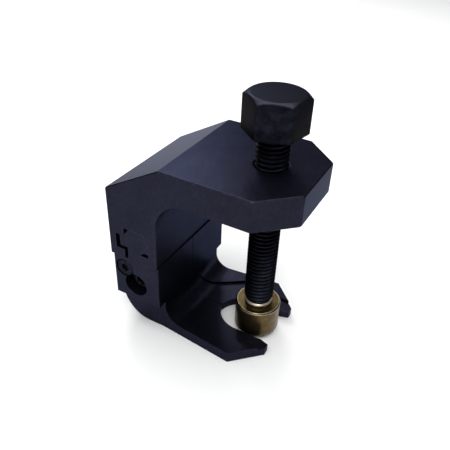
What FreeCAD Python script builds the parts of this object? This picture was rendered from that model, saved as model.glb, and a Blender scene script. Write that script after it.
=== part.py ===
import FreeCAD, Part
import math
import os
import Sketcher

# A small C-frame screw press with a two-piece forked jaw.
#
# Frame: origin at the centre of the bounding box's footprint, on the plane of the
# fork's flat underside. +Z runs up the forcing screw, -Y points at the nose and the
# fork tips, +X is to the right when facing the nose from the column.

DIMENSIONS = {
    # C-shaped frame
    "width": 43.0,
    "half_width": 21.5,
    "half_length": 30.35,
    "screw_axis_y": -15.15,
    "parting_height": 29.0,
    "rear_height": 53.8,
    "arm_top": 65.4,
    "arm_underside": 55.2,
    "ridge_y": 10.35,
    "column_face_y": 12.0,
    "throat_radius": 11.0,
    "nose_side_y": -19.65,
    "nose_half_width": 11.3,
    "frame_edge_break": 0.35,
    # T-slot under the column, and the tongue that runs in it
    "slot_clearance": 0.05,
    "slot_front_gap": 0.1,
    "neck_front_y": 18.0,
    "neck_rear_y": 24.45,
    "head_front_y": 15.0,
    "head_rear_y": 27.65,
    "crown_front_y": 16.3,
    "crown_rear_y": 24.3,
    "lip_height": 3.2,
    "head_height": 8.8,
    "crown_height": 11.8,
    "tongue_neck_rear_y": 23.05,
    "tongue_head_rear_y": 25.9,
    "tongue_overhang": 4.6,
    "tongue_bevel": 1.3,
    "crown_bevel_y": 1.9,
    "crown_bevel_z": 2.6,
    # jaw block, root and fork
    "jaw_gap": 0.1,
    "jaw_face_y": 11.55,
    "jaw_rear_y": 29.25,
    "jaw_underside": 12.2,
    "root_half_width": 17.7,
    "root_front_y": 12.85,
    "root_rear_radius": 11.0,
    "root_front_radius": 6.0,
    "fork_thickness": 4.0,
    "relief_depth": 1.0,
    "fork_half_width": 20.5,
    "fork_corner_y": -14.55,
    "fork_tip_y": -23.95,
    "tip_outer_x": 11.3,
    "tip_inner_x": 9.1,
    "flare_y": -20.9,
    "mouth_half_width": 8.2,
    "arch_spring_y": -11.0,
    "arch_apex_y": -1.05,
    "arch_radius": 10.13,
    "relief_start_x": 5.0,
    "relief_corner_x": 15.37,
    "relief_corner_y": -3.0,
    "relief_tip_x": 12.6,
    "jaw_edge_break": 0.3,
    "seam_edge_break": 0.15,
    # forcing screw
    "thread_diameter": 10.0,
    "thread_bore": 10.1,
    "bore_mouth_depth": 0.5,
    "screw_head_bottom": 76.0,
    "screw_head_top": 87.4,
    "shank_top": 82.0,
    "head_flats": 17.0,
    "head_circle": 15.7,
    "head_sweep": 22.0,
    "head_chamfer_drop": 1.82,
    "head_turn": 49.0,
    "thread_end": 15.0,
    "journal_top": 12.9,
    "journal_diameter": 7.8,
    "journal_bottom": 6.6,
    "groove_bottom": 9.6,
    "groove_top": 10.6,
    "groove_diameter": 6.8,
    "ball_diameter": 4.0,
    "ball_pocket_diameter": 4.2,
    "ball_pocket_top": 9.3,
    "ball_centre": 7.25,
    # pressure pad
    "pad_bottom": 2.0,
    "pad_top": 12.5,
    "pad_diameter": 15.5,
    "pad_bore": 7.95,
    "pad_floor": 5.2,
    "pad_groove_diameter": 8.9,
    "pad_edge_break": 0.5,
    "pad_bore_break": 0.35,
    "ring_middle_radius": 3.93,
    "ring_wire_radius": 0.42,
    "ring_height": 10.1,
    "ring_span": 318.0,
    # adjusting screw, its keeper and the centring pin
    "adjuster_y": 20.75,
    "adjuster_height": 18.6,
    "adjuster_diameter": 5.0,
    "adjuster_bore": 5.4,
    "adjuster_thread_bore": 5.1,
    "adjuster_end": 18.0,
    "cap_diameter": 8.4,
    "cap_height": 5.0,
    "cap_socket": 4.0,
    "cap_socket_depth": 2.5,
    "counterbore_diameter": 8.8,
    "counterbore_depth": 8.1,
    "cap_recess": 3.1,
    "keeper_y": 25.05,
    "keeper_height": 24.2,
    "keeper_head_diameter": 6.2,
    "keeper_head_height": 2.65,
    "keeper_recess": 0.05,
    "keeper_socket": 2.5,
    "keeper_socket_depth": 1.3,
    "keeper_diameter": 4.0,
    "keeper_length": 8.0,
    "spotface_diameter": 7.0,
    "spotface_depth": 2.7,
    "keeper_thread_bore": 4.08,
    "keeper_hole_depth": 11.6,
    "cap_edge_break": 0.35,
    "keeper_edge_break": 0.25,
    "pin_diameter": 4.0,
    "pin_y": 20.3,
    "pin_bottom": 34.5,
    "pin_top": 49.0,
    "pin_bore_top": 49.5,
    "pin_edge_break": 0.3,
    "pin_notch_diameter": 4.3,
    "pin_notch_bottom": 33.0,
    "pin_notch_depth": 9.0,
}

COSINE_30 = math.cos(math.radians(30))
TOLERANCE = 1e-4

document = FreeCAD.newDocument("screw_press")
sheet = document.addObject("Spreadsheet::Sheet", "Dimensions")
for row, (alias, size) in enumerate(DIMENSIONS.items(), start=1):
    sheet.set(f"A{row}", alias)
    sheet.set(f"B{row}", str(size))
    sheet.setAlias(f"B{row}", alias)
document.recompute()


def amount(text):
    """Value of a sum of dimensions, such as "pad_top - pad_bottom"."""
    total = 0.0
    sign = 1.0
    for word in text.split():
        if word in ("+", "-"):
            sign = 1.0 if word == "+" else -1.0
        else:
            total += sign * DIMENSIONS[word]
    return total


def formula(text):
    """The same sum as an expression on the sheet."""
    words = (word if word in ("+", "-") else f"Dimensions.{word}" for word in text.split())
    return " ".join(words)


def bind(target, name, text):
    target.setExpression(name, formula(text))


def new_body(label):
    body = document.addObject("PartDesign::Body", label)
    body.Label = label
    return body


def origin_plane(body, role):
    return next(item for item in body.Origin.OriginFeatures if item.Role == role)


def new_sketch(body, name, role, height=None):
    """Sketch on one of the body's own planes, raised along the plane's normal."""
    sketch = body.newObject("Sketcher::SketchObject", name)
    sketch.AttachmentSupport = [(origin_plane(body, role), "")]
    sketch.MapMode = "FlatFace"
    if height:
        bind(sketch, "AttachmentOffset.Base.z", height)
    return sketch


def constrain(sketch, kind, *arguments):
    """Add a constraint; a trailing text is the sum of dimensions that drives it."""
    if isinstance(arguments[-1], str):
        text = arguments[-1]
        index = sketch.addConstraint(Sketcher.Constraint(kind, *arguments[:-1], amount(text)))
        bind(sketch, f"Constraints[{index}]", text)
    else:
        sketch.addConstraint(Sketcher.Constraint(kind, *arguments))


def pin_point(sketch, edge, end, across, along):
    """Hold a vertex at a place given from the sketch's origin; "" means on the axis."""
    if across:
        constrain(sketch, "DistanceX", -1, 1, edge, end, across)
    else:
        constrain(sketch, "PointOnObject", edge, end, -2)
    if along:
        constrain(sketch, "DistanceY", -1, 1, edge, end, along)
    else:
        constrain(sketch, "PointOnObject", edge, end, -1)


def draw_outline(sketch, corners, arc_after=None, arc_radius=None, arc_centre=None):
    """Closed outline through the corners; one side may be an arc instead of a line."""
    places = [FreeCAD.Vector(amount(across), amount(along), 0) for across, along in corners]
    edges = []
    for index, start in enumerate(places):
        finish = places[(index + 1) % len(places)]
        if index != arc_after:
            edges.append((sketch.addGeometry(Part.LineSegment(start, finish)), 1, 2))
            continue
        centre = FreeCAD.Vector(*arc_centre, 0)
        circle = Part.Circle(centre, FreeCAD.Vector(0, 0, 1), amount(arc_radius))
        first = math.atan2(start.y - centre.y, start.x - centre.x)
        last = math.atan2(finish.y - centre.y, finish.x - centre.x)
        turns_left = (last - first) % (2 * math.pi) < math.pi
        span = (first, last) if turns_left else (last, first)
        edge = sketch.addGeometry(Part.ArcOfCircle(circle, *span))
        edges.append((edge, 1, 2) if turns_left else (edge, 2, 1))
    for index, (edge, _, end) in enumerate(edges):
        following, begin, _ = edges[(index + 1) % len(edges)]
        constrain(sketch, "Coincident", edge, end, following, begin)
    for (edge, begin, _), (across, along) in zip(edges, corners):
        pin_point(sketch, edge, begin, across, along)
    if arc_after is not None:
        constrain(sketch, "Radius", edges[arc_after][0], arc_radius)


def draw_circle(sketch, across, along, diameter):
    centre = FreeCAD.Vector(amount(across), amount(along), 0)
    normal = FreeCAD.Vector(0, 0, 1)
    edge = sketch.addGeometry(Part.Circle(centre, normal, amount(diameter) / 2))
    pin_point(sketch, edge, 3, across, along)
    constrain(sketch, "Diameter", edge, diameter)


def draw_hexagon(sketch, across, along, flats, turn=0.0):
    """Regular hexagon about a point, sized across its flats."""
    centre = FreeCAD.Vector(amount(across), amount(along), 0)
    radius = amount(flats) / 2 / COSINE_30
    circle = Part.Circle(centre, FreeCAD.Vector(0, 0, 1), radius)
    guide = sketch.addGeometry(circle, True)
    angles = [math.radians(turn + 60 * corner) for corner in range(6)]
    points = [centre + FreeCAD.Vector(math.cos(a), math.sin(a), 0) * radius for a in angles]
    sides = [sketch.addGeometry(Part.LineSegment(points[i], points[(i + 1) % 6])) for i in range(6)]
    pin_point(sketch, guide, 3, across, along)
    index = sketch.addConstraint(Sketcher.Constraint("Diameter", guide, 2 * radius))
    sketch.setExpression(f"Constraints[{index}]", f"Dimensions.{flats} / cos(30 deg)")
    for i in range(6):
        constrain(sketch, "Coincident", sides[i], 2, sides[(i + 1) % 6], 1)
        constrain(sketch, "PointOnObject", sides[i], 1, guide)
    for side in sides[1:]:
        constrain(sketch, "Equal", sides[0], side)
    slant = math.radians(turn + 120)
    sketch.addConstraint(Sketcher.Constraint("Angle", sides[0], slant))


def extrude(body, kind, name, sketch, length=None, symmetric=False, reverse=False):
    """Pad or Pocket of a sketch; no length means right through, both ways."""
    feature = body.newObject(f"PartDesign::{kind}", name)
    feature.Profile = sketch
    feature.Reversed = reverse
    if symmetric or length is None:
        feature.SideType = "Symmetric"
    if length is None:
        feature.Type = "ThroughAll"
    else:
        bind(feature, "Length", length)
    document.recompute()
    return feature


def cut_pocket(body, name, sketch, length=None, symmetric=False, reverse=False):
    """Pocket that must take material away."""
    before = body.Shape.Volume
    feature = extrude(body, "Pocket", name, sketch, length, symmetric, reverse)
    if body.Shape.Volume > before - TOLERANCE:
        raise RuntimeError(f"{body.Label}: {name} cuts nothing")
    return feature


def revolve(body, kind, name, sketch):
    """Full turn of a half section about the body's Z axis."""
    feature = body.newObject(f"PartDesign::{kind}", name)
    feature.Profile = sketch
    feature.ReferenceAxis = (sketch, ["V_Axis"])
    feature.Angle = 360
    document.recompute()
    return feature


def dress(body, kind, name, wanted, size):
    """Fillet or Chamfer of the edges whose end points satisfy a rule."""
    base = body.Tip
    names = []
    for index, edge in enumerate(base.Shape.Edges, start=1):
        if wanted([vertex.Point for vertex in edge.Vertexes]):
            names.append(f"Edge{index}")
    if not names:
        raise RuntimeError(f"{body.Label}: {name} finds no edge")
    feature = body.newObject(f"PartDesign::{kind}", name)
    feature.Base = (base, names)
    bind(feature, "Radius" if kind == "Fillet" else "Size", size)
    document.recompute()
    return feature


def near(value, target):
    return abs(value - target) < TOLERANCE


def all_at(ends, axis, *aliases):
    """Whether every end point lies at one of the given places along an axis."""
    places = [amount(alias) for alias in aliases]
    return all(any(near(getattr(end, axis), place) for place in places) for end in ends)


def build_frame():
    """C-shaped frame: column, overhanging arm with a cut nose, and the T-slot."""
    body = new_body("frame")
    side = new_sketch(body, "frame_side", "YZ_Plane")
    draw_outline(side, [
        ("half_length", "parting_height"),
        ("half_length", "rear_height"),
        ("ridge_y", "arm_top"),
        ("- half_length", "arm_top"),
        ("- half_length", "arm_underside"),
        ("column_face_y", "arm_underside"),
        ("column_face_y", "parting_height"),
    ])
    extrude(body, "Pad", "frame_block", side, "width", symmetric=True)

    def throat_corner(ends):
        return all_at(ends, "y", "column_face_y") and all_at(ends, "z", "arm_underside")

    dress(body, "Fillet", "throat_fillet", throat_corner, "throat_radius")

    for sign, word in ((1, "+ "), (-1, "- ")):
        corner = new_sketch(body, f"nose_corner_{'right' if sign > 0 else 'left'}", "XY_Plane")
        draw_outline(corner, [
            (f"{word}half_width", "nose_side_y"),
            (f"{word}nose_half_width", "- half_length"),
            (f"{word}half_width", "- half_length"),
        ])
        cut_pocket(body, f"nose_cut_{'right' if sign > 0 else 'left'}", corner)

    def outline(ends):
        on_one_side = all_at(ends, "x", "half_width") or all_at(ends, "x", "- half_width")
        around_nose = all(end.y < amount("nose_side_y") + TOLERANCE for end in ends)
        across_rear = all_at(ends, "z", "rear_height")
        on_parting = all_at(ends, "z", "parting_height")
        return (on_one_side or around_nose or across_rear) and not on_parting

    dress(body, "Chamfer", "outer_edge_break", outline, "frame_edge_break")

    slot = new_sketch(body, "tee_slot", "YZ_Plane")
    head_base = "parting_height + lip_height"
    head_roof = "parting_height + head_height"
    crown_roof = "parting_height + crown_height"
    draw_outline(slot, [
        ("neck_front_y", "parting_height - slot_front_gap"),
        ("neck_rear_y", "parting_height - slot_front_gap"),
        ("neck_rear_y", head_base),
        ("head_rear_y", head_base),
        ("head_rear_y", head_roof),
        ("crown_rear_y", head_roof),
        ("crown_rear_y", crown_roof),
        ("crown_front_y", crown_roof),
        ("crown_front_y", head_roof),
        ("head_front_y", head_roof),
        ("head_front_y", "parting_height + lip_height - slot_front_gap"),
        ("neck_front_y", "parting_height + lip_height - slot_front_gap"),
    ])
    cut_pocket(body, "tee_slot_cut", slot)

    bore = new_sketch(body, "screw_bore", "XY_Plane", "arm_underside")
    draw_circle(bore, "", "screw_axis_y", "thread_bore")
    cut_pocket(body, "screw_bore_cut", bore)

    def bore_mouth(ends):
        axis_y = amount("screw_axis_y")
        return all(near(math.hypot(end.x, end.y - axis_y), amount("thread_bore") / 2) for end in ends)

    dress(body, "Chamfer", "bore_mouths", bore_mouth, "bore_mouth_depth")

    pin_hole = new_sketch(body, "pin_hole", "XY_Plane", "parting_height + lip_height")
    draw_circle(pin_hole, "", "pin_y", "pin_diameter")
    depth = "pin_bore_top - parting_height - lip_height"
    cut_pocket(body, "pin_hole_cut", pin_hole, depth, reverse=True)
    return body


def build_jaw(label, sign):
    """One half of the forked jaw; sign is +1 for the right half and -1 for the left."""
    body = new_body(label)
    word = "+ " if sign > 0 else "- "
    outward = sign > 0
    seam = f"{word}jaw_gap"
    clear = "slot_clearance"

    block = new_sketch(body, f"{label}_block_side", "YZ_Plane", seam)
    top = f"parting_height - {clear}"
    neck_front = f"neck_front_y + {clear}"
    head_front = f"head_front_y + {clear}"
    head_roof = f"parting_height + head_height - {clear}"
    crown_roof = f"parting_height + crown_height - {clear}"
    overhang = "parting_height + tongue_overhang"
    draw_outline(block, [
        ("jaw_face_y", "jaw_underside"),
        ("jaw_rear_y", "jaw_underside"),
        ("jaw_rear_y", top),
        ("tongue_neck_rear_y", top),
        ("tongue_neck_rear_y", overhang),
        ("tongue_head_rear_y", overhang),
        ("tongue_head_rear_y", head_roof),
        (f"crown_rear_y - {clear}", head_roof),
        (f"crown_rear_y - {clear}", f"{crown_roof} - crown_bevel_z"),
        (f"crown_rear_y - {clear} - crown_bevel_y", crown_roof),
        (f"crown_front_y + {clear}", crown_roof),
        (f"crown_front_y + {clear}", head_roof),
        (head_front, head_roof),
        (head_front, overhang),
        (f"{neck_front} - tongue_bevel", overhang),
        (neck_front, f"{overhang} - tongue_bevel"),
        (neck_front, top),
        ("jaw_face_y", top),
    ])
    extrude(body, "Pad", f"{label}_block", block, "half_width - jaw_gap", reverse=not outward)

    fork = new_sketch(body, f"{label}_fork_plan", "XY_Plane")
    draw_outline(fork, [
        (seam, "jaw_rear_y"),
        (f"{word}root_half_width", "jaw_rear_y"),
        (f"{word}root_half_width", "root_front_y"),
        (f"{word}fork_half_width", "fork_corner_y"),
        (f"{word}tip_outer_x", "fork_tip_y"),
        (f"{word}tip_inner_x", "fork_tip_y"),
        (f"{word}mouth_half_width", "flare_y"),
        (f"{word}mouth_half_width", "arch_spring_y"),
        (seam, "arch_apex_y"),
    ], arc_after=7, arc_radius="arch_radius", arc_centre=arch_centre(sign))
    extrude(body, "Pad", f"{label}_fork", fork, "jaw_underside")

    above_prong = new_sketch(body, f"{label}_prong_side", "YZ_Plane")
    beyond_tip = "fork_tip_y - fork_thickness"
    draw_outline(above_prong, [
        ("jaw_face_y", "fork_thickness"),
        ("jaw_face_y", "jaw_underside"),
        (beyond_tip, "jaw_underside"),
        (beyond_tip, "fork_thickness"),
    ])
    cut_pocket(body, f"{label}_prong_cut", above_prong)

    def root_front(ends):
        return all_at(ends, "y", "jaw_face_y") and all_at(ends, "z", "fork_thickness")

    def root_rear(ends):
        return all_at(ends, "y", "jaw_rear_y") and all_at(ends, "z", "")

    dress(body, "Fillet", f"{label}_root_fillet", root_front, "root_front_radius")
    dress(body, "Fillet", f"{label}_heel_round", root_rear, "root_rear_radius")

    subtract(body, f"{label}_relief_cut", build_relief(f"{label}_relief", word))

    def seam_front(ends):
        return all_at(ends, "x", seam) and all_at(ends, "y", "jaw_face_y")

    dress(body, "Chamfer", f"{label}_seam_break", seam_front, "seam_edge_break")

    notch = new_sketch(body, f"{label}_pin_notch", "XY_Plane", "pin_notch_bottom")
    draw_circle(notch, "", "pin_y", "pin_notch_diameter")
    cut_pocket(body, f"{label}_pin_notch_cut", notch, "pin_notch_depth", reverse=True)

    passage = new_sketch(body, f"{label}_adjuster_hole", "YZ_Plane")
    passage_diameter = "adjuster_thread_bore" if outward else "adjuster_bore"
    draw_circle(passage, "adjuster_y", "adjuster_height", passage_diameter)
    cut_pocket(body, f"{label}_adjuster_cut", passage)
    if not outward:
        cut_fastener_seats(body)

    def block_outline(ends):
        return all_at(ends, "x", f"{word}half_width") and all_at(ends, "y", "jaw_face_y", "jaw_rear_y")

    dress(body, "Chamfer", f"{label}_edge_break", block_outline, "jaw_edge_break")
    return body


def build_relief(label, word):
    """Space above a jaw half's relieved area: the prong's top and root fillet, lowered."""
    body = new_body(label)
    beyond_tip = "fork_tip_y - fork_thickness"
    plan = new_sketch(body, f"{label}_plan", "XY_Plane")
    draw_outline(plan, [
        ("", "jaw_face_y"),
        (f"{word}relief_start_x", "jaw_face_y"),
        (f"{word}relief_corner_x", "relief_corner_y"),
        (f"{word}relief_tip_x", beyond_tip),
        ("", beyond_tip),
    ])
    extrude(body, "Pad", f"{label}_block", plan, "jaw_underside")

    floor = "fork_thickness - relief_depth"
    centre_y = "jaw_face_y - root_front_radius"
    centre_z = f"{floor} + root_front_radius"
    below = new_sketch(body, f"{label}_side", "YZ_Plane")
    draw_outline(below, [
        ("jaw_face_y", "- fork_thickness"),
        ("jaw_face_y", centre_z),
        (centre_y, floor),
        (beyond_tip, floor),
        (beyond_tip, "- fork_thickness"),
    ], arc_after=1, arc_radius="root_front_radius", arc_centre=(amount(centre_y), amount(centre_z)))
    cut_pocket(body, f"{label}_below_cut", below)
    return body


def subtract(body, name, tool):
    """Take a tool body away from a body."""
    before = body.Shape.Volume
    feature = body.newObject("PartDesign::Boolean", name)
    feature.Type = "Cut"
    feature.addObjects([tool])
    document.recompute()
    if body.Shape.Volume > before - TOLERANCE:
        raise RuntimeError(f"{body.Label}: {name} cuts nothing")
    return feature


def arch_centre(sign):
    """Centre of the pointed arch's arc, on the line through its springing."""
    across = sign * (amount("mouth_half_width") - amount("arch_radius"))
    return across, amount("arch_spring_y")


def cut_fastener_seats(body):
    """Seats in the left half: the adjuster's counterbore, and the keeper's spotface and hole."""
    seats = (
        ("counterbore", "adjuster_y", "adjuster_height", "counterbore_diameter", "counterbore_depth"),
        ("spotface", "keeper_y", "keeper_height", "spotface_diameter", "spotface_depth"),
        ("keeper_hole", "keeper_y", "keeper_height", "keeper_thread_bore", "keeper_hole_depth"),
    )
    for name, across, along, diameter, depth in seats:
        seat = new_sketch(body, name, "YZ_Plane", "- half_width")
        draw_circle(seat, across, along, diameter)
        cut_pocket(body, f"{name}_cut", seat, depth, reverse=True)


def draw_section(sketch, corners):
    """Closed half section through corners given as (diameter, height) sums."""
    places = []
    for diameter, height in corners:
        places.append(FreeCAD.Vector(amount(diameter) / 2, amount(height), 0))
    count = len(places)
    for index in range(count):
        sketch.addGeometry(Part.LineSegment(places[index], places[(index + 1) % count]))
    for index, (diameter, height) in enumerate(corners):
        constrain(sketch, "Coincident", index, 2, (index + 1) % count, 1)
        if diameter:
            distance = Sketcher.Constraint("DistanceX", -1, 1, index, 1, places[index].x)
            number = sketch.addConstraint(distance)
            sketch.setExpression(f"Constraints[{number}]", f"({formula(diameter)}) / 2")
        else:
            constrain(sketch, "PointOnObject", index, 1, -2)
        if height:
            constrain(sketch, "DistanceY", -1, 1, index, 1, height)
        else:
            constrain(sketch, "PointOnObject", index, 1, -1)


def turned_body(label, corners):
    """Body turned about its own Z axis from a half section."""
    body = new_body(label)
    section = new_sketch(body, f"{label}_section", "XZ_Plane")
    draw_section(section, corners)
    revolve(body, "Revolution", f"{label}_turning", section)
    return body


def place(item, across, along, height, sideways=False):
    """Put a part at sums of dimensions; sideways lays its Z axis along +X."""
    turn = FreeCAD.Rotation(FreeCAD.Vector(0, 1, 0), 90 if sideways else 0)
    item.Placement = FreeCAD.Placement(FreeCAD.Vector(), turn)
    for axis, text in (("x", across), ("y", along), ("z", height)):
        if text:
            bind(item, f"Placement.Base.{axis}", text)


def build_forcing_screw():
    """Hexagon-headed screw with a turned journal that carries the pad."""
    body = turned_body("forcing_screw", [
        ("", "shank_top"),
        ("thread_diameter", "shank_top"),
        ("thread_diameter", "thread_end"),
        ("journal_diameter", "journal_top"),
        ("journal_diameter", "groove_top"),
        ("groove_diameter", "groove_top"),
        ("groove_diameter", "groove_bottom"),
        ("journal_diameter", "groove_bottom"),
        ("journal_diameter", "journal_bottom"),
        ("ball_pocket_diameter", "journal_bottom"),
        ("ball_pocket_diameter", "ball_pocket_top"),
        ("", "ball_pocket_top"),
    ])
    head = new_sketch(body, "head_plan", "XY_Plane", "screw_head_bottom")
    draw_hexagon(head, "", "", "head_flats", DIMENSIONS["head_turn"])
    extrude(body, "Pad", "hex_head", head, "screw_head_top - screw_head_bottom")

    ring = new_sketch(body, "head_chamfer_section", "XZ_Plane")
    draw_section(ring, [
        ("head_circle", "screw_head_top"),
        ("head_sweep", "screw_head_top - head_chamfer_drop"),
        ("head_sweep", "screw_head_top"),
    ])
    before = body.Shape.Volume
    revolve(body, "Groove", "head_chamfer", ring)
    if not body.Shape.Volume < before:
        raise RuntimeError("the head chamfer cuts nothing")
    place(body, "", "screw_axis_y", "")
    return body


def build_pressure_pad():
    """Brass pad, bored for the screw's journal and grooved for its snap ring."""
    body = turned_body("pressure_pad", [
        ("", "pad_bottom"),
        ("pad_diameter - pad_edge_break - pad_edge_break", "pad_bottom"),
        ("pad_diameter", "pad_bottom + pad_edge_break"),
        ("pad_diameter", "pad_top - pad_edge_break"),
        ("pad_diameter - pad_edge_break - pad_edge_break", "pad_top"),
        ("pad_bore + pad_bore_break + pad_bore_break", "pad_top"),
        ("pad_bore", "pad_top - pad_bore_break"),
        ("pad_bore", "groove_top"),
        ("pad_groove_diameter", "groove_top"),
        ("pad_groove_diameter", "groove_bottom"),
        ("pad_bore", "groove_bottom"),
        ("pad_bore", "pad_floor"),
        ("", "pad_floor"),
    ])
    place(body, "", "screw_axis_y", "")
    return body


def build_snap_ring():
    """Round-wire snap ring with a gap, seated between the journal and the pad."""
    ring = document.addObject("Part::Torus", "pad_retaining_ring")
    ring.Label = "pad_retaining_ring"
    bind(ring, "Radius1", "ring_middle_radius")
    bind(ring, "Radius2", "ring_wire_radius")
    bind(ring, "Angle3", "ring_span")
    place(ring, "", "screw_axis_y", "ring_height")
    return ring


def build_thrust_ball():
    """Hardened ball that carries the screw's thrust into the pad."""
    ball = document.addObject("Part::Sphere", "thrust_ball")
    ball.Label = "thrust_ball"
    ball.setExpression("Radius", "Dimensions.ball_diameter / 2")
    place(ball, "", "screw_axis_y", "ball_centre")
    return ball


def build_socket_screw(label, head, shank, socket, edge_break):
    """Cylinder-headed hexagon-socket screw; its head face is at Z zero, its shank runs to +Z."""
    (head_diameter, head_height), (diameter, end) = head, shank
    twice = f"{edge_break} - {edge_break}"
    body = turned_body(label, [
        ("", ""),
        (f"{head_diameter} - {twice}", ""),
        (head_diameter, edge_break),
        (head_diameter, head_height),
        (diameter, head_height),
        (diameter, f"{end} - {edge_break}"),
        (f"{diameter} - {twice}", end),
        ("", end),
    ])
    opening = new_sketch(body, f"{label}_socket", "XY_Plane")
    draw_hexagon(opening, "", "", socket[0])
    cut_pocket(body, f"{label}_socket_cut", opening, socket[1], reverse=True)
    return body


def build_adjusting_screw():
    """Captive screw that draws the two jaw halves together or drives them apart."""
    screw = build_socket_screw(
        "adjusting_screw",
        ("cap_diameter", "cap_height"),
        ("adjuster_diameter", "half_width + adjuster_end - cap_recess"),
        ("cap_socket", "cap_socket_depth"),
        "cap_edge_break",
    )
    place(screw, "- half_width + cap_recess", "adjuster_y", "adjuster_height", sideways=True)
    return screw


def build_keeper_screw():
    """Low-head screw whose head laps over the adjusting screw's head."""
    screw = build_socket_screw(
        "keeper_screw",
        ("keeper_head_diameter", "keeper_head_height"),
        ("keeper_diameter", "keeper_head_height + keeper_length"),
        ("keeper_socket", "keeper_socket_depth"),
        "keeper_edge_break",
    )
    place(screw, "- half_width + keeper_recess", "keeper_y", "keeper_height", sideways=True)
    return screw


def build_centring_pin():
    """Dowel pressed into the slot's roof; each half closes on it at the middle."""
    narrow = "pin_diameter - pin_edge_break - pin_edge_break"
    body = turned_body("centring_pin", [
        ("", "pin_bottom"),
        (narrow, "pin_bottom"),
        ("pin_diameter", "pin_bottom + pin_edge_break"),
        ("pin_diameter", "pin_top - pin_edge_break"),
        (narrow, "pin_top"),
        ("", "pin_top"),
    ])
    place(body, "", "pin_y", "")
    return body


def check_document(parts):
    """Stop if any object failed or any part's shape is missing or broken."""
    document.recompute()
    failed = [item.Name for item in document.Objects if {"Invalid", "Error"} & set(item.State)]
    if failed:
        raise RuntimeError(f"objects failed: {failed}")
    for part in parts:
        if part.Shape.isNull() or not part.Shape.isValid():
            raise RuntimeError(f"{part.Label} has no valid shape")


def main():
    parts = [
        build_frame(),
        build_jaw("jaw_left", -1),
        build_jaw("jaw_right", 1),
        build_forcing_screw(),
        build_pressure_pad(),
        build_snap_ring(),
        build_thrust_ball(),
        build_adjusting_screw(),
        build_keeper_screw(),
        build_centring_pin(),
    ]
    check_document(parts)
    os.makedirs("parts", exist_ok=True)
    for part in parts:
        part.Shape.exportStep(f"parts/{part.Label}.step")
        print(f"{part.Label}: {part.Shape.Volume:.1f} mm3, {len(part.Shape.Solids)} solid")


main()
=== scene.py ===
import math
from collections import namedtuple

import bmesh
import bpy
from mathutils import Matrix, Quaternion, Vector


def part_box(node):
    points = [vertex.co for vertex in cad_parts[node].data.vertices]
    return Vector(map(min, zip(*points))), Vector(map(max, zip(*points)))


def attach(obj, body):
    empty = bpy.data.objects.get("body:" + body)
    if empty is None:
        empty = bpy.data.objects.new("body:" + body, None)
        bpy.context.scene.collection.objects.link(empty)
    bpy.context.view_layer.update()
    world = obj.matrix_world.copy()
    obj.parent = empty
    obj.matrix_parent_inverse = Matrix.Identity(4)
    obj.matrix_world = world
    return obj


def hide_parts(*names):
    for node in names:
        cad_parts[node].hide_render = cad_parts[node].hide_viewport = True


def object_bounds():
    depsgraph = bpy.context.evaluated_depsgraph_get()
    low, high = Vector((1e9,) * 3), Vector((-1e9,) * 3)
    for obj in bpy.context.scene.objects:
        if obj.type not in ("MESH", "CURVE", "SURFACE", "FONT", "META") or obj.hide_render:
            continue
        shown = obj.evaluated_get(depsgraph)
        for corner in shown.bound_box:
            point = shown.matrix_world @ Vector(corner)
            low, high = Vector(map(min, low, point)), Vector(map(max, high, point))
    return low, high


# Looks for a small forked screw press: black oxide steel, a threaded forcing screw with
# a hexagon head, two socket screws and a brass pad. Lengths on the tool and the camera are
# in millimetres, which MM turns into metres. The floor and the lights are in metres.

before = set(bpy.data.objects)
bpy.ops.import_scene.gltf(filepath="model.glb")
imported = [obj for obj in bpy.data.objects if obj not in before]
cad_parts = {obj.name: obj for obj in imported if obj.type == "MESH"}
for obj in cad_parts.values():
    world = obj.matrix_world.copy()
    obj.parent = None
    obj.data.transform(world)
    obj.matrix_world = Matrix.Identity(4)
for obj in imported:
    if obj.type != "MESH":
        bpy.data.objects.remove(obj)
cad_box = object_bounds()

MM = 0.001
COSINE_30 = math.cos(math.radians(30))
TANGENT_30 = math.tan(math.radians(30))

# meshes
COLUMNS = 96
SIDES = 6
SHARP_ANGLE = math.radians(28)
MERGE_DISTANCE = 0.0005 * MM
COLLAPSE_DISTANCE = 0.0001 * MM

# shading; a face looks along an axis when its unit normal reaches this far along it
BEVEL_SAMPLES = 6
SIDEWAYS_REACH = 0.7
UPWARD_REACH = 0.8

# forcing screw, from its foot up
POCKET_RADIUS = 2.1
POCKET_DEPTH = 2.7
JOURNAL_RADIUS = 3.9
JOURNAL_BREAK = 0.3
GROOVE_START = 3.0
GROOVE_FINISH = 4.0
GROOVE_DEPTH = 0.5
COLLAR_RADIUS = 4.75
COLLAR_BOTTOM = 12.7
COLLAR_BREAK = 0.4
THREAD_FOOT = 14.0
THREAD_FOOT_TAPER = 0.7
THREAD_NECK = 4.1
SCREW_PITCH = 1.5
SCREW_CREST = 4.97
SCREW_ROOT = 4.06
HEAD_BOTTOM = 76.0
HEAD_FLATS = 17.0
HEAD_CIRCLE = 7.85
HEAD_TURN = math.radians(49)

# rounded edges of its head, as (how much narrower, how far from the face)
HEAD_BOTTOM_EDGE = ((0.70, 0.0), (0.15, 0.15), (0.0, 0.35))
HEAD_CORNER_EDGE = ((0.0, 0.22), (0.06, 0.07), (0.30, 0.0))
HEAD_CIRCLE_EDGE = ((-0.12, 0.07), (0.10, 0.01), (0.35, 0.0))

# one turn of a thread, as (share of the pitch, share of the depth)
THREAD_PROFILE = (
    (-0.080, 0.95), (-0.050, 1.0), (0.050, 1.0), (0.080, 0.95),
    (0.375, 0.04), (0.440, -0.02), (0.560, -0.02), (0.625, 0.04),
)

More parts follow.
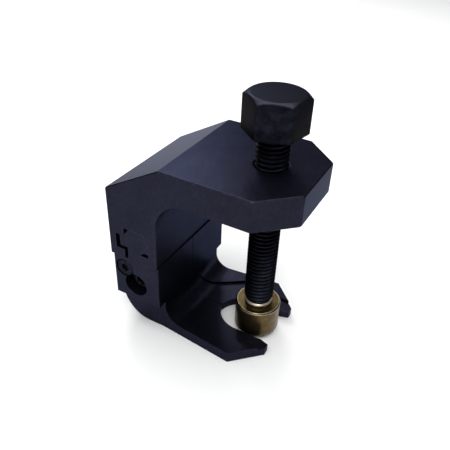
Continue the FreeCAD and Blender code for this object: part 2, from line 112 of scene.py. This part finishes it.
# socket screws, with their edges written in the same way
SocketScrew = namedtuple("SocketScrew", "head_height socket_flats socket_depth radius pitch knurl")
ADJUSTING_SCREW = SocketScrew(
    head_height=5.0, socket_flats=4.0, socket_depth=2.5, radius=2.5, pitch=0.8, knurl=0.14
)
KEEPER_SCREW = SocketScrew(
    head_height=2.65, socket_flats=2.5, socket_depth=1.3, radius=2.0, pitch=0.7, knurl=0.0
)
SOCKET_ROUNDING = 0.08
SOCKET_POINT = 0.45
SOCKET_LEDGE = 0.25
SOCKET_BREAK_WIDTH = 0.15
SOCKET_BREAK_DEPTH = 0.22
CAP_EDGE = ((0.40, 0.0), (0.12, 0.10), (0.0, 0.36))
CAP_BREAK = 0.20
KNURL_START = 0.55
KNURL_MARGIN = 0.35
FASTENER_THREAD_SHARE = 0.6
FASTENER_THREAD_PLAY = 0.03
FASTENER_END_STEP = 0.15

# camera
AIM = Vector((0.0, -0.83, 38.54)) * MM
DISTANCE = 176.65 * MM
AZIMUTH = math.radians(-62.51)
ELEVATION = math.radians(34.92)
ROLL = math.radians(2.6)
LENS = 42.78

# stage
FLOOR_HALF = 2.0
WORLD_COLOUR = (0.92, 0.95, 1.0, 1.0)
WORLD_STRENGTH = 0.12


# ---------------------------------------------------------------- shader helpers


def add(tree, kind, sockets=None, **settings):
    """New shader node; each socket gets a value or a link from another node's output."""
    node = tree.nodes.new("ShaderNode" + kind)
    for name, value in settings.items():
        setattr(node, name, value)
    for name, value in (sockets or {}).items():
        if isinstance(value, bpy.types.NodeSocket):
            tree.links.new(value, node.inputs[name])
        else:
            node.inputs[name].default_value = value
    return node


def math_node(tree, operation, *values):
    return add(tree, "Math", dict(enumerate(values)), operation=operation).outputs[0]


def total(tree, first, second):
    return math_node(tree, "ADD", first, second)


def product(tree, first, second):
    return math_node(tree, "MULTIPLY", first, second)


def above(tree, value, level):
    """1 where the value is above the level, 0 elsewhere."""
    return math_node(tree, "GREATER_THAN", value, level)


def vector_node(tree, operation, first, second):
    return add(tree, "VectorMath", {0: first, 1: second}, operation=operation)


def component(tree, vector, axis):
    return add(tree, "SeparateXYZ", {0: vector}).outputs["XYZ".index(axis)]


def surface_normal(tree):
    return add(tree, "NewGeometry").outputs["Normal"]


def spread(tree, value, low, high, start=0.0, finish=1.0):
    """Map a value from start..finish to low..high."""
    sockets = {"Value": value, "From Min": start, "From Max": finish, "To Min": low, "To Max": high}
    return add(tree, "MapRange", sockets).outputs["Result"]


def blend_colours(tree, factor, first, second):
    node = add(tree, "Mix", data_type="RGBA")
    factor_socket, first_socket, second_socket = (node.inputs[index] for index in (0, 6, 7))
    for socket, value in ((factor_socket, factor), (first_socket, first), (second_socket, second)):
        if isinstance(value, bpy.types.NodeSocket):
            tree.links.new(value, socket)
        elif isinstance(value, tuple):
            socket.default_value = (*value, 1.0)
        else:
            socket.default_value = value
    return node.outputs[2]


def noise(tree, vector, scale, detail=2.0, roughness=0.5):
    sockets = {"Vector": vector, "Scale": scale, "Detail": detail, "Roughness": roughness}
    return add(tree, "TexNoise", sockets).outputs["Fac"]


def stretched(tree, vector, stretch):
    return vector_node(tree, "MULTIPLY", vector, stretch).outputs[0]


def in_millimetres(tree):
    place = add(tree, "TexCoord").outputs["Object"]
    return add(tree, "VectorMath", {0: place, "Scale": 1 / MM}, operation="SCALE").outputs[0]


def rounded_normal(tree, radius):
    return add(tree, "Bevel", {"Radius": radius * MM}, samples=BEVEL_SAMPLES).outputs[0]


def edge_mask(tree, radius):
    """1 on sharp outer and inner edges, 0 on flat faces."""
    alike = vector_node(tree, "DOT_PRODUCT", rounded_normal(tree, radius), surface_normal(tree))
    return spread(tree, alike.outputs["Value"], low=1.0, high=0.0, start=0.86, finish=0.995)


def bump(tree, height, depth, radius):
    """Bumped normal over edges that are rounded by a small radius."""
    sockets = {
        "Height": height, "Distance": depth * MM, "Strength": 1.0, "Normal": rounded_normal(tree, radius)
    }
    return add(tree, "Bump", sockets).outputs[0]


def new_material(name):
    material = bpy.data.materials.new(name)
    material.use_nodes = True
    tree = material.node_tree
    tree.nodes.clear()
    shader = add(tree, "BsdfPrincipled")
    output = add(tree, "OutputMaterial")
    tree.links.new(shader.outputs[0], output.inputs[0])
    return material, tree, shader


def connect(tree, shader, **sockets):
    """Set the shader's sockets; underscores stand for spaces in their names."""
    for name, value in sockets.items():
        socket = shader.inputs[name.replace("_", " ")]
        if isinstance(value, bpy.types.NodeSocket):
            tree.links.new(value, socket)
        else:
            socket.default_value = value


# ---------------------------------------------------------------- materials


def ground_lines(tree, place):
    """Fine grinding lines: along Y on faces that look along X, along X elsewhere."""
    along_x = stretched(tree, place, (0.35, 9.0, 9.0))
    along_y = stretched(tree, place, (9.0, 0.35, 9.0))
    reach = math_node(tree, "ABSOLUTE", component(tree, surface_normal(tree), "X"))
    sockets = {
        0: above(tree, reach, SIDEWAYS_REACH),
        2: noise(tree, along_x, scale=1.0, detail=3.0, roughness=0.6),
        3: noise(tree, along_y, scale=1.0, detail=3.0, roughness=0.6),
    }
    return add(tree, "Mix", sockets, data_type="FLOAT").outputs[0]


def black_oxide(name, roughness=0.36, wear_and_highlight_amount=1.0):
    """Blackened ground steel: blue-black, faintly mottled, its edges lighter from rubbed wear and a
    painted highlight.
    """
    material, tree, shader = new_material(name)
    place = in_millimetres(tree)
    clouds = noise(tree, place, scale=0.11, detail=4.0, roughness=0.6)
    blotches = noise(tree, place, scale=0.75, detail=3.0, roughness=0.55)
    pores = noise(tree, place, scale=7.0, detail=2.0, roughness=0.6)
    lines = ground_lines(tree, place)

    deep = (0.0100, 0.0105, 0.0175)
    light = (0.0230, 0.0240, 0.0400)
    worn_and_highlit_edges = (0.115, 0.120, 0.150)
    mottling = spread(
        tree, product(tree, clouds, blotches), low=0.25, high=0.80, start=0.12, finish=0.42
    )
    patchy = spread(
        tree, blotches, low=0.25 * wear_and_highlight_amount, high=0.95 * wear_and_highlight_amount, start=0.30, finish=0.70
    )
    # edges painted lighter: partly rubbed wear, partly a painted highlight along the edge lines
    wear_and_highlight_mask = product(tree, edge_mask(tree, radius=0.16), patchy)
    colour = blend_colours(tree, wear_and_highlight_mask, blend_colours(tree, mottling, deep, light), worn_and_highlit_edges)

    blotchy_shine = spread(tree, blotches, low=-0.03, high=0.04)
    lined_shine = spread(tree, lines, low=-0.04, high=0.05)
    fine = total(tree, product(tree, lines, 0.7), product(tree, pores, 0.5))
    connect(
        tree, shader,
        Base_Color=colour,
        Roughness=total(tree, total(tree, blotchy_shine, lined_shine), roughness),
        Metallic=0.85,
        Specular_IOR_Level=0.20,
        Specular_Tint=(0.42, 0.44, 0.52, 1.0),
        Normal=bump(tree, fine, depth=0.004, radius=0.12),
    )
    return material


def turning_rings(tree, place, height, axis_y):
    """Fine rings about the piece's own Z: across its flat faces and round its walls."""
    centred = vector_node(tree, "SUBTRACT", place, (0.0, axis_y, 0.0)).outputs[0]
    flattened = stretched(tree, centred, (1, 1, 0))
    radial = add(tree, "VectorMath", {0: flattened}, operation="LENGTH").outputs["Value"]
    sockets = {"W": total(tree, radial, height), "Scale": 6.0, "Detail": 3.0}
    return add(tree, "TexNoise", sockets, noise_dimensions="1D").outputs["Fac"]


def turned(
    name, dull, bright, metal, roughness,
    axis_y=0.0, specular=0.5, tint=(1.0, 1.0, 1.0), line_depth=0.003,
    edge_wear_and_highlight=None, edge_width=0.14, edge_share=0.8, bare=None, lit_top_paint=None,
):
    """Lathe-turned metal with stains, and fine rings about the piece's own Z.

    edge is the colour of its edges, rubbed and also painted lighter as a highlight. bare is (height,
    colour) of the stretch below that height. crown is (height, colour, tint) of upward faces above that
    height, painted lighter as if lit from above.
    """
    material, tree, shader = new_material(name)
    place = in_millimetres(tree)
    height = component(tree, place, "Z")
    rings = turning_rings(tree, place, height, axis_y)
    stains = noise(tree, place, scale=0.35, detail=4.0, roughness=0.65)
    specks = noise(tree, place, scale=5.0, detail=2.0, roughness=0.5)

    patches = spread(tree, stains, low=0.0, high=1.0, start=0.32, finish=0.68)
    colour = blend_colours(tree, patches, dull, bright)
    specular_tint = (*tint, 1.0)
    # edges painted lighter: rubbed wear plus a painted highlight
    if edge_wear_and_highlight:
        worn_and_highlit_edges = product(tree, edge_mask(tree, edge_width), edge_share)
        colour = blend_colours(tree, worn_and_highlit_edges, colour, edge_wear_and_highlight)
    if bare:
        bare_top, bare_colour = bare
        colour = blend_colours(tree, math_node(tree, "LESS_THAN", height, bare_top), colour, bare_colour)
    # painted light: upward faces near the top are painted lighter, as if lit from above
    if lit_top_paint:
        lit_top_bottom, lit_top_colour, lit_top_tint = lit_top_paint
        looks_up = above(tree, component(tree, surface_normal(tree), "Z"), UPWARD_REACH)
        on_lit_top = product(tree, looks_up, above(tree, height, lit_top_bottom))
        colour = blend_colours(tree, on_lit_top, colour, lit_top_colour)
        specular_tint = blend_colours(tree, on_lit_top, tint, lit_top_tint)

    stained_shine = spread(tree, stains, low=0.07, high=-0.05)
    ringed_shine = spread(tree, rings, low=-0.06, high=0.06)
    connect(
        tree, shader,
        Base_Color=colour,
        Roughness=total(tree, total(tree, stained_shine, ringed_shine), roughness),
        Metallic=metal,
        Specular_IOR_Level=specular,
        Specular_Tint=specular_tint,
        Normal=bump(tree, total(tree, rings, product(tree, specks, 0.3)), line_depth, radius=0.10),
    )
    return material


def screw_oxide():
    """Darkest oxide, with a bare collar below the thread and a top on the head painted lighter, as if lit
    from above.
    """
    return turned(
        "black_oxide_screw",
        dull=(0.0045, 0.0050, 0.0080), bright=(0.0140, 0.0150, 0.0220), metal=0.85, roughness=0.36,
        specular=0.15, tint=(0.18, 0.19, 0.24), edge_wear_and_highlight=(0.07, 0.07, 0.09),
        bare=(THREAD_FOOT, (0.62, 0.56, 0.42)),
        # painted light on the head's top faces
        lit_top_paint=(HEAD_BOTTOM, (0.024, 0.025, 0.034), (0.40, 0.41, 0.47)),
    )


def fastener_oxide():
    return turned(
        "black_oxide_fastener",
        dull=(0.008, 0.008, 0.012), bright=(0.018, 0.018, 0.026), metal=0.85, roughness=0.34,
        specular=0.15, tint=(0.35, 0.36, 0.42), edge_wear_and_highlight=(0.10, 0.10, 0.12),
    )


def pad_brass():
    """Stained brass, turned about the pad's own axis, its machined edges painted near white-gold as a
    highlight.
    """
    pad_low, pad_high = (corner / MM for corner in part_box("pressure_pad"))
    return turned(
        "brass",
        dull=(0.080, 0.057, 0.027), bright=(0.155, 0.112, 0.050), metal=1.0, roughness=0.31,
        axis_y=(pad_low.y + pad_high.y) / 2, line_depth=0.002,
        # painted highlight: near white-gold edges over the bright machined chamfers
        edge_wear_and_highlight=(0.98, 0.88, 0.60), edge_width=0.50, edge_share=1.0,
    )


def ground_steel():
    return turned(
        "ground_steel", dull=(0.30, 0.30, 0.31), bright=(0.50, 0.50, 0.51), metal=1.0, roughness=0.30
    )


def polished_steel():
    return turned(
        "polished_steel", dull=(0.60, 0.60, 0.61), bright=(0.72, 0.72, 0.73), metal=1.0, roughness=0.10,
        line_depth=0.0005,
    )


def pale_floor():
    material, tree, shader = new_material("pale_floor")
    drift = noise(tree, in_millimetres(tree), scale=0.01, detail=2.0, roughness=0.5)
    connect(
        tree, shader,
        Base_Color=blend_colours(tree, drift, (0.90, 0.90, 0.90), (0.93, 0.93, 0.93)),
        Roughness=0.9,
        Specular_IOR_Level=0.1,
    )
    return material


# ---------------------------------------------------------------- mesh helpers


def ring(radius, height, turn=0.0, ridges=0.0):
    """Row of points round the axis; ridges lower every second point, as on a knurl."""
    row = []
    for column in range(COLUMNS + 1):
        angle = turn + 2 * math.pi * column / COLUMNS
        reach = radius - ridges * (column % 2)
        row.append(Vector((reach * math.cos(angle), reach * math.sin(angle), height)))
    return row


def hexagon(flats, height, turn=0.0, rounding=0.25):
    """Row of points round a hexagon with slightly blunted corners.

    height is a number, or a function that gives the height at a distance from the axis.
    """
    steps = COLUMNS // SIDES
    core = flats / 2 - rounding
    row = []
    for column in range(COLUMNS + 1):
        side, step = divmod(column, steps)
        corner = turn + math.radians(60) * side
        if step == 0:
            point = Vector((math.cos(corner), math.sin(corner), 0)) * (core / COSINE_30 + rounding)
        else:
            middle = corner + math.radians(30)
            outward = Vector((math.cos(middle), math.sin(middle), 0))
            sideways = Vector((-outward.y, outward.x, 0))
            share = 2 * (step - 1) / (steps - 2) - 1
            point = outward * flats / 2 + sideways * share * core * TANGENT_30
        point.z = height(point.length) if callable(height) else height
        row.append(point)
    return row


def thread(start, finish, crest, root, pitch, start_limit, finish_limit, turn=0.0):
    """Rows that follow a right-hand helix. Each limit is (radius at that end, taper)."""
    start_radius, start_taper = start_limit
    finish_radius, finish_taper = finish_limit
    rows = []
    for lap in range(-1, math.ceil((finish - start) / pitch) + 2):
        for along, out in THREAD_PROFILE:
            reach = root + out * (crest - root)
            row = []
            for column in range(COLUMNS + 1):
                share = column / COLUMNS
                angle = turn + 2 * math.pi * share
                height = start + (lap + along + share) * pitch
                height = min(max(height, start), finish)
                near_start = start_radius + (height - start) * start_taper
                near_finish = finish_radius + (finish - height) * finish_taper
                radius = min(reach, near_start, near_finish)
                row.append(Vector((radius * math.cos(angle), radius * math.sin(angle), height)))
            rows.append(row)
    return rows


def skin(name, rows, material):
    """Object with a surface through the rows, its shared points merged."""
    mesh = bmesh.new()
    grid = [[mesh.verts.new(point * MM) for point in row] for row in rows]
    for lower, upper in zip(grid, grid[1:]):
        for column in range(COLUMNS):
            mesh.faces.new((lower[column], lower[column + 1], upper[column + 1], upper[column]))
    bmesh.ops.remove_doubles(mesh, verts=mesh.verts, dist=MERGE_DISTANCE)
    bmesh.ops.dissolve_degenerate(mesh, dist=COLLAPSE_DISTANCE, edges=mesh.edges)
    bmesh.ops.recalc_face_normals(mesh, faces=mesh.faces)
    data = bpy.data.meshes.new(name)
    mesh.to_mesh(data)
    mesh.free()
    data.shade_smooth()
    data.set_sharp_from_angle(angle=SHARP_ANGLE)
    data.materials.append(material)
    piece = bpy.data.objects.new(name, data)
    bpy.context.scene.collection.objects.link(piece)
    return piece


def fit(piece, node, body):
    """Make a piece stand for a CAD node on its body."""
    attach(piece, body)
    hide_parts(node)


# ---------------------------------------------------------------- pieces


def head_rows(top):
    """Hexagon head whose chamfer is a cone that starts at the turned circle on its top."""
    def under_cone(depth):
        return lambda radius: top - max(radius - HEAD_CIRCLE, 0) * TANGENT_30 - depth

    rows = [hexagon(HEAD_FLATS - less, HEAD_BOTTOM + rise, HEAD_TURN) for less, rise in HEAD_BOTTOM_EDGE]
    rows += [hexagon(HEAD_FLATS - less, under_cone(depth), HEAD_TURN) for less, depth in HEAD_CORNER_EDGE]
    rows += [ring(HEAD_CIRCLE - less, top - depth, HEAD_TURN) for less, depth in HEAD_CIRCLE_EDGE]
    rows.append(ring(0.0, top, HEAD_TURN))
    return rows


def journal_rows(foot):
    """Ball pocket, journal with its ring groove, and the collar under the thread."""
    outline = (
        (0.0, foot + POCKET_DEPTH),
        (POCKET_RADIUS, foot + POCKET_DEPTH),
        (POCKET_RADIUS, foot),
        (JOURNAL_RADIUS - JOURNAL_BREAK, foot),
        (JOURNAL_RADIUS, foot + JOURNAL_BREAK),
        (JOURNAL_RADIUS, foot + GROOVE_START),
        (JOURNAL_RADIUS - GROOVE_DEPTH, foot + GROOVE_START),
        (JOURNAL_RADIUS - GROOVE_DEPTH, foot + GROOVE_FINISH),
        (JOURNAL_RADIUS, foot + GROOVE_FINISH),
        (JOURNAL_RADIUS, COLLAR_BOTTOM),
        (COLLAR_RADIUS - COLLAR_BREAK, COLLAR_BOTTOM),
        (COLLAR_RADIUS, COLLAR_BOTTOM + COLLAR_BREAK),
        (COLLAR_RADIUS, THREAD_FOOT - COLLAR_BREAK),
        (COLLAR_RADIUS - COLLAR_BREAK, THREAD_FOOT),
    )
    return [ring(radius, height, HEAD_TURN) for radius, height in outline]


def make_forcing_screw(material):
    low, high = (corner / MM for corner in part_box("forcing_screw"))
    rows = journal_rows(low.z)
    rows += thread(
        THREAD_FOOT, HEAD_BOTTOM, SCREW_CREST, SCREW_ROOT, SCREW_PITCH,
        (SCREW_ROOT, THREAD_FOOT_TAPER), (THREAD_NECK, 1.0), HEAD_TURN,
    )
    rows += head_rows(high.z)
    screw = skin("forcing_screw_threaded", rows, material)
    screw.location = ((low.x + high.x) / 2 * MM, (low.y + high.y) / 2 * MM, 0)
    fit(screw, "forcing_screw", "forcing_screw")


def socket_screw_rows(shape, head_radius, length):
    """Cap screw from its socket's floor, over the head and down the thread."""
    mouth = shape.socket_flats / 2 / COSINE_30 + SOCKET_BREAK_WIDTH
    rows = [
        ring(0.0, shape.socket_depth + SOCKET_POINT),
        ring(shape.socket_flats / 2 - SOCKET_LEDGE, shape.socket_depth),
        hexagon(shape.socket_flats, shape.socket_depth, rounding=SOCKET_ROUNDING),
        hexagon(shape.socket_flats, SOCKET_BREAK_DEPTH, rounding=SOCKET_ROUNDING),
        ring(mouth, 0.0),
    ]
    rows += [ring(head_radius - less, depth) for less, depth in CAP_EDGE]
    rows += [
        ring(head_radius, KNURL_START, ridges=shape.knurl),
        ring(head_radius, shape.head_height - KNURL_MARGIN, ridges=shape.knurl),
        ring(head_radius, shape.head_height - CAP_BREAK),
        ring(head_radius - CAP_BREAK, shape.head_height),
    ]
    crest = shape.radius - FASTENER_THREAD_PLAY
    root = shape.radius - FASTENER_THREAD_SHARE * shape.pitch
    limit = (root - FASTENER_END_STEP, 1.0)
    rows += thread(shape.head_height, length, crest, root, shape.pitch, limit, limit)
    rows.append(ring(0.0, length))
    return rows


def make_socket_screw(node, body, shape, material):
    """Socket screw whose head faces -X, set where the CAD node is."""
    low, high = (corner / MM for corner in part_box(node))
    rows = socket_screw_rows(shape, (high.y - low.y) / 2, high.x - low.x)
    screw = skin(node + "_threaded", rows, material)
    screw.rotation_mode = "QUATERNION"
    screw.rotation_quaternion = Quaternion((0, 1, 0), math.radians(90))
    screw.location = (low.x * MM, (low.y + high.y) / 2 * MM, (low.z + high.z) / 2 * MM)
    bpy.context.view_layer.update()
    fit(screw, node, body)


def make_screws():
    make_forcing_screw(screw_oxide())
    oxide = fastener_oxide()
    make_socket_screw("adjusting_screw", "adjusting_screw", ADJUSTING_SCREW, oxide)
    make_socket_screw("keeper_screw", "jaw_left", KEEPER_SCREW, oxide)


def paint(material, *nodes):
    """Give CAD nodes a finished material."""
    for node in nodes:
        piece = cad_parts[node]
        piece.data.materials.clear()
        piece.data.materials.append(material)


def paint_cad_nodes():
    paint(black_oxide("black_oxide_frame"), "frame")
    paint(black_oxide("black_oxide_jaw", roughness=0.33, wear_and_highlight_amount=0.3), "jaw_left", "jaw_right")
    paint(pad_brass(), "pressure_pad")
    paint(ground_steel(), "centring_pin", "pad_retaining_ring")
    paint(polished_steel(), "thrust_ball")


# ---------------------------------------------------------------- stage


def make_camera():
    cosine = math.cos(ELEVATION)
    forward = Vector((-math.sin(AZIMUTH) * cosine, math.cos(AZIMUTH) * cosine, -math.sin(ELEVATION)))
    data = bpy.data.cameras.new("camera")
    data.lens = LENS
    data.clip_start = 5 * MM
    data.clip_end = 10.0
    camera = bpy.data.objects.new("camera", data)
    camera.location = AIM - forward * DISTANCE
    camera.rotation_mode = "QUATERNION"
    camera.rotation_quaternion = forward.to_track_quat("-Z", "Y") @ Quaternion((0, 0, 1), ROLL)
    bpy.context.scene.collection.objects.link(camera)
    bpy.context.scene.camera = camera


def make_light(name, place, size, power):
    """Soft square light that faces the object's middle."""
    data = bpy.data.lights.new(name, "AREA")
    data.size = size
    data.energy = power
    lamp = bpy.data.objects.new(name, data)
    lamp.location = place
    lamp.rotation_mode = "QUATERNION"
    lamp.rotation_quaternion = (AIM - Vector(place)).to_track_quat("-Z", "Y")
    bpy.context.scene.collection.objects.link(lamp)


def make_lights():
    make_light("overhead", place=(-0.04, 0.02, 0.75), size=1.00, power=9.2)
    make_light("rear_softbox", place=(0.38, 0.36, 0.42), size=0.26, power=1.4)
    make_light("rear_card", place=(0.75, 0.78, 0.10), size=0.30, power=0.9)
    make_light("front_glint", place=(-0.40, -0.24, 0.70), size=0.16, power=1.3)


def make_floor():
    level = cad_box[0][2]
    corners = [(x * FLOOR_HALF, y * FLOOR_HALF, level) for x, y in ((-1, -1), (1, -1), (1, 1), (-1, 1))]
    data = bpy.data.meshes.new("floor")
    data.from_pydata(corners, [], [(0, 1, 2, 3)])
    data.materials.append(pale_floor())
    floor = bpy.data.objects.new("floor", data)
    bpy.context.scene.collection.objects.link(floor)


def make_world():
    world = bpy.data.worlds.new("studio")
    world.use_nodes = True
    background = world.node_tree.nodes["Background"]
    background.inputs["Color"].default_value = WORLD_COLOUR
    background.inputs["Strength"].default_value = WORLD_STRENGTH
    bpy.context.scene.world = world
    bpy.context.scene.view_settings.view_transform = "Standard"


def main():
    paint_cad_nodes()
    make_screws()
    make_camera()
    make_floor()
    make_world()
    make_lights()


main()
